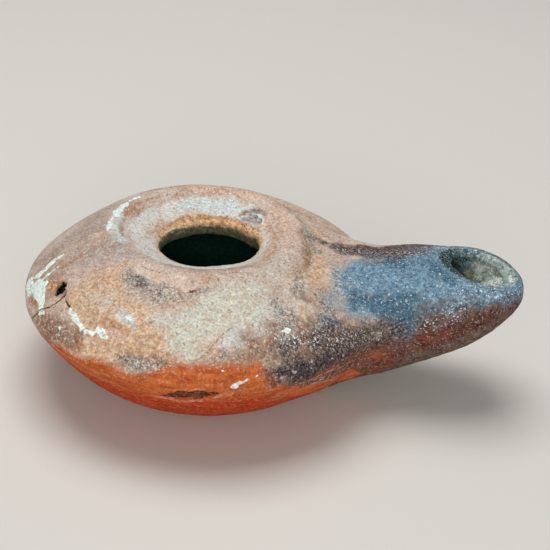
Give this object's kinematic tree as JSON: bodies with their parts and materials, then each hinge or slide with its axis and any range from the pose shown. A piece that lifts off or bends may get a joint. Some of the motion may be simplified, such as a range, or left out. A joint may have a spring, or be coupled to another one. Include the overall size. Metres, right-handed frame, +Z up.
{
  "type": "clay oil lamp",
  "caption": "Hollow round clay lamp with a ring around a sunk discus, a filling hole and a rounded nozzle with a wick hole; worn, sooted and crusted with lime.",
  "frame": {"origin": "middle of the flat foot, on the surface the lamp stands on", "axes": "+Z up, +X from the body's axis to the tip of the nozzle"},
  "size_m": [0.0978, 0.072, 0.0305],
  "materials": {
    "fired_clay": "matt fired earthenware, buff to orange, with soot, lime crust and a pale film"
  },
  "bodies": {
    "root": {"oil_lamp": "fired_clay"}
  },
  "joints": []
}
